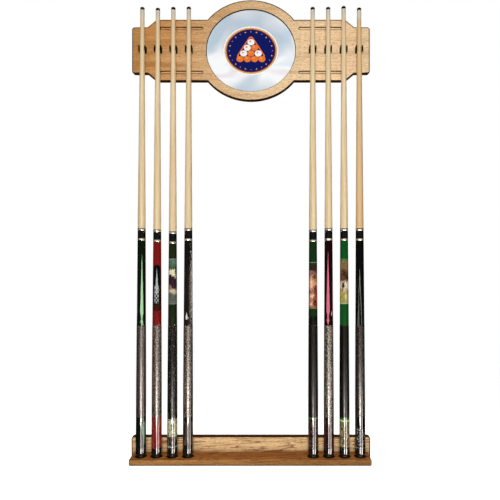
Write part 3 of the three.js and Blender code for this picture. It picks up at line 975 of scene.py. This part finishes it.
def make_clip(number, plastic):
    """A U-shaped clip with rounded fingers, drawn from above with its base against the board."""
    node = f"clip_{number}"
    low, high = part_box(node)
    half, reach = half_width(node), high.y - low.y
    tip, heel, bend = CLIP_PRONG / 2, 1.5 * MM, 2.5 * MM
    mesh = slab([mirrored(arc(half - heel, -heel, heel, 90, 0, 6)
                          + arc(half - tip, tip - reach, tip, 0, -180, 12)
                          + arc(half - CLIP_PRONG - bend, -CLIP_BASE - bend, bend, 0, 90, 8))],
                high.z - low.z, 0.7 * MM, 3)
    mesh.transform(Matrix.Translation((middle(node)[0], high.y, low.z)))
    rack_piece(f"cue_clip_{number}", mesh, [plastic], "clip_plastic", node, 45)


# ---- the cues
def cue_frame(number):
    """Where a cue stands: its own axes, with z = 0 at the foot, its length and its joint's height."""
    bumper, tip = (Vector(middle(f"cue_{number}_{part}")) for part in ("bumper", "tip"))
    up = (tip - bumper).normalized()
    foot = bumper - up * (BUMPER_TALL / 2)
    length = (tip - foot).length + TIP_TALL / 2
    joint = (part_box(f"cue_{number}_shaft")[0].z - foot.z) / up.z
    lean = Matrix.Rotation(math.atan2(-up.y, up.z), 4, "X")
    return Matrix.Translation(foot) @ lean, length, joint


def stand(mesh, number, name, materials, slot=None, *parts):
    """Puts a turned piece in its cue, where it stands for the cue's parts that are named."""
    piece = shade(new_object(f"cue_{number}_{name}", mesh, *materials), 32)
    piece.matrix_world = cue_frame(number)[0]
    finished(piece, f"cue_{number}", slot, *(f"cue_{number}_{part}" for part in parts))


def bead(radius, low, high, finish):
    """A slightly barrel-shaped ring between two heights."""
    return [(radius + BEAD_PROUD * math.sin(math.pi * i / 6), low + (high - low) * i / 6, finish)
            for i in range(1, 6)]


def groove_at(radius, height, above, below):
    """A hairline groove where two rings of a turned piece meet."""
    return [(radius, height - 0.25 * MM, below), (radius - 0.16 * MM, height, above),
            (radius, height + 0.25 * MM, above)]


def make_bumper(number, rubber):
    radius, bend, chamfer = half_width(f"cue_{number}_bumper"), 4.7 * MM, 0.6 * MM
    profile = mm((0, 1.2), (4, 1.2), (4.6, 0.6), (5.2, 0)) + arc(radius - bend, bend, bend, -90, 0, 9)
    for height in (8.6, 11):
        profile += [(radius - sunk * MM, (height + up) * MM)
                    for sunk, up in ((0, 0), (0.5, 0.4), (0.5, 0.9), (0, 1.3))]
    profile += [(radius, BUMPER_TALL - chamfer), (radius - chamfer, BUMPER_TALL), (0, BUMPER_TALL)]
    stand(turned(profile), number, "rubber_foot", [rubber], "bumper_rubber", "bumper")


def make_butt(number, black, metal):
    """Cap, sleeve, handle core, forearm, ring and joint sleeve: one turned piece with three finishes."""
    _, _, joint = cue_frame(number)
    wide, top = half_width(f"cue_{number}_butt"), half_width(f"cue_{number}_shaft")
    low = BUMPER_TALL + GAP
    cap = low + CAP_TALL
    core = 1 * MM
    ring = joint - JOINT_SLEEVE

    def forearm(height):
        down = (joint - height) / (joint - WRAP_HIGH)
        return top + (WRAP_HIGH_RADIUS - top - 0.2 * MM) * down

    profile = [(0, low, 1), (wide - 1.2 * MM, low, 1), (wide - 0.5 * MM, low + 0.5 * MM, 1),
               (wide - 0.15 * MM, low + 4 * MM, 1), (wide, low + 8 * MM, 1)]
    profile += groove_at(wide, cap, 0, 1)
    profile += [(wide, cap + 20 * MM), (WRAP_LOW_RADIUS, WRAP_LOW - 0.2 * MM),
                (WRAP_LOW_RADIUS - core, WRAP_LOW), (WRAP_HIGH_RADIUS - core, WRAP_HIGH),
                (forearm(WRAP_HIGH) - 0.1 * MM, WRAP_HIGH + 0.2 * MM),
                (forearm(WRAP_HIGH + 4 * MM), WRAP_HIGH + 4 * MM)]
    profile += groove_at(forearm(ring - JOINT_RING), ring - JOINT_RING, 2, 0)
    profile += bead(forearm(ring), ring - JOINT_RING, ring, 2)
    profile += groove_at(forearm(ring), ring, 1, 2)
    profile += [(forearm(joint - 1 * MM), joint - 1 * MM, 1), (top - 0.4 * MM, joint, 1), (0, joint, 1)]
    ground, decorate = LIVERIES[number - 1]
    livery = Livery(f"butt_{number}_lacquer", ground)
    decorate(livery)
    stand(turned(profile), number, "lacquered_butt", [livery.lacquered(), black, metal],
          f"butt_paint_{number}", "butt")


def make_wrap(number):
    """The thread wound handle, a sleeve over the butt's core with softly rounded ends."""
    low, high = WRAP_LOW_RADIUS + 0.1 * MM, WRAP_HIGH_RADIUS + 0.1 * MM
    inner, edge = 1.1 * MM, 0.3 * MM
    profile = [(low - inner, WRAP_LOW), (low - edge, WRAP_LOW), (low, WRAP_LOW + 2 * edge),
               (high, WRAP_HIGH - 2 * edge), (high - edge, WRAP_HIGH), (high - inner, WRAP_HIGH)]
    thread = linen(f"wrap_{number}_thread", *WRAPS[number - 1])
    stand(turned(profile, closed=True), number, "wrap", [thread])


def make_shaft(number, *materials):
    """Collar, black ring, maple and ferrule: one turned piece with four finishes."""
    _, length, joint = cue_frame(number)
    wide, thin = half_width(f"cue_{number}_shaft"), half_width(f"cue_{number}_tip")
    top = length - TIP_TALL - GAP
    shoulder = top - FERRULE_TALL
    foot = joint + GAP
    ring = foot + COLLAR_RING
    black_end = ring + COLLAR_BLACK

    def radius(height):
        return wide - (wide - thin) * (height - joint) / (shoulder - joint)

    profile = [(0, foot, 2), (wide - 0.4 * MM, foot, 2)] + bead(wide, foot, ring, 2)
    profile += groove_at(radius(ring), ring, 1, 2) + groove_at(radius(black_end), black_end, 0, 1)
    for share in (0.2, 0.4, 0.6, 0.8):
        height = joint + share * (shoulder - joint)
        profile.append((radius(height), height))
    profile += groove_at(thin, shoulder, 3, 0) + [(thin, top, 3), (0, top, 3)]
    stand(turned(profile), number, "maple_shaft", materials, "shaft_maple", "shaft")


def make_tip(number, leather):
    _, length, _ = cue_frame(number)
    radius = half_width(f"cue_{number}_tip")
    rise = 4.2 * MM
    profile = [(0, length - TIP_TALL)]
    profile += [(radius - sunk * MM, length - TIP_TALL + up * MM)
                for sunk, up in ((0.15, 0), (0, 0.3), (0, 2.6), (0.12, 2.8), (0, 3))]
    profile += [(radius * math.cos(math.radians(a)), length - rise + rise * math.sin(math.radians(a)))
                for a in (0, 12, 25, 40, 55, 70, 82)]
    stand(turned(profile + [(0, length)], 40), number, "leather_tip", [leather], "tip_leather", "tip")


# ---- stage, light and camera
def make_world():
    """A studio that the camera sees as plain white. The rack is lit and mirrored mostly from the front
    and above, with dark flags at its sides, so round pieces fall off to dark edges."""
    world = bpy.data.worlds.new("studio")
    bpy.context.scene.world = world
    world.use_nodes = True
    g = Graph(world.node_tree)
    direction = g.node("TexCoord").outputs["Generated"]
    _, behind, up = g.node("SeparateXYZ", Vector=direction).outputs
    ray = g.node("LightPath").outputs

    def level(along, steps):
        return g.ramp(g.span(along, -1, 1), *steps)

    above = level(up, STUDIO_UP)
    soft, glossy = (g.feed("Background", above, level(behind, steps)) for steps in (SOFT_ROUND, GLOSSY_ROUND))
    lit = g.feed("MixShader", ray["Is Glossy Ray"], soft, glossy)
    white = g.feed("Background", (1, 1, 1), 1)
    seen = g.feed("MixShader", ray["Is Camera Ray"], lit, white)
    g.fill(g.tree.nodes["World Output"], Surface=seen)


def make_floor():
    g = Finish("studio_floor", Emission_Color=(1, 1, 1), Emission_Strength=0.75)
    tone = g.ramp(g.noise(EVEN, 60, 4, 0.6), (0.3, 0.86), (0.7, 0.9))
    radius, thickness = 6, 0.02
    mesh = slab([oval(radius, radius, steps=96)], thickness, 0.004, 2)
    floor = new_object("studio_floor", mesh, g.finish(tone, 0.6))
    floor.location = (0, 0, cad_bounds[0].z - FLOOR_BELOW - thickness)
    floor.visible_glossy = False
    floor.visible_diffuse = False


def area_light(name, place, target, size, power):
    data = bpy.data.lights.new(name, "AREA")
    data.shape = "RECTANGLE"
    data.size, data.size_y = size
    data.energy = power
    light = new_object(name, data)
    light.location = place
    aim = Vector(target) - Vector(place)
    light.rotation_euler = aim.to_track_quat("-Z", "Y").to_euler()
    light.visible_camera = False
    return light


def make_lights():
    """The soft lights aren't mirrored, and the cards and strips only shine on the cues."""
    for light in SOFT_LIGHTS:
        area_light(*light).visible_glossy = False
    only_cues = bpy.data.collections.new("lit_by_the_cards")
    for piece in bpy.context.scene.objects:
        if piece.name.startswith("cue_") and not piece.name.startswith("cue_clip"):
            only_cues.objects.link(piece)
    for light in CARDS:
        card = area_light(*light)
        card.visible_diffuse = False
        card.light_linking.receiver_collection = only_cues
        card.data.color = CARD_WARMTH


def make_camera():
    data = bpy.data.cameras.new("camera")
    data.lens = LENS
    data.shift_x = SHIFT
    camera = new_object("camera", data)
    camera.location = CAMERA_PLACE
    camera.rotation_euler = (math.pi / 2, 0, 0)
    bpy.context.scene.camera = camera


def make_rack():
    edge = dark_edge_and_painted_shade()
    make_upper_board(oak("oak_upper_board", paint(194, 137, 76), paint(238, 204, 160)), edge)
    low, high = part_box("tray_shelf")
    # Painted shade in the corner above the shelf's top on the tray board, and along the bottom of the shelf's
    # front.
    painted_shade_in_the_corner = (high.z, 22 * MM, 0.5)
    painted_shade_along_the_bottom = (low.z + 1.5 * MM, 4 * MM, 1)
    # The tray board's oak is paler than the upper board's: painted light that makes up for the lamps lighting
    # it less.
    make_tray_board(
        oak("oak_tray_board", paint(218, 158, 92), paint(244, 204, 150), 0.6, 1, painted_shade=painted_shade_in_the_corner), edge)
    # The shelf's top takes a darker copy of its oak, painted shade for a top that gets little light.
    make_shelf(
        oak("oak_shelf", paint(180, 124, 68), paint(192, 138, 80), 5, 0.6, 1.6, painted_shade_along_the_bottom),
        oak("oak_shelf_top_painted_shade", paint(170, 106, 46), paint(178, 112, 52), 8, 1, 1.6), edge)
    make_mirror()
    make_emblem()
    steel = plain_finish("zinc_plated_steel", paint(190, 190, 192), 0.32, 400, 0.00005, 0.15,
                         Metallic=1)
    plastic = plain_finish("black_clip_plastic", paint(5, 5, 5), 0.55, 900, 0.00006,
                           Specular_IOR_Level=0.08)
    for name in frame["nodes"]:
        if "hanger" in name:
            make_hanger(name, steel)
    for index in SHELF_SCREWS:
        make_shelf_screw(index, steel)
    for number in CUE_NUMBERS:
        make_clip(number, plastic)
        make_clip_screw(number, steel)


def make_cues():
    black = plain_finish("black_phenolic", paint(14, 11, 9), 0.16, 500, 0.00002, Coat_Weight=1,
                         Coat_Roughness=0.05)
    metal = brushed("joint_metal", paint(250, 240, 214))
    ferrule = plain_finish("ferrule_fibre", paint(214, 202, 180), 0.35, 700, 0.00003, 0.08)
    leather = plain_finish("tip_leather", paint(18, 13, 10), 0.8, 900, 0.0002, 0.5, Specular_IOR_Level=0.2)
    rubber = plain_finish("bumper_rubber", paint(10, 9, 8), 0.5, 700, 0.0001, Specular_IOR_Level=0.15)
    for number in CUE_NUMBERS:
        make_bumper(number, rubber)
        make_butt(number, black, metal)
        make_wrap(number)
        make_shaft(number, maple(f"maple_{number}", *SHAFT_TINTS[number - 1]), black, metal, ferrule)
        make_tip(number, leather)


make_camera()
make_world()
make_floor()
make_rack()
make_cues()
make_lights()
bpy.context.scene.view_settings.view_transform = "Standard"
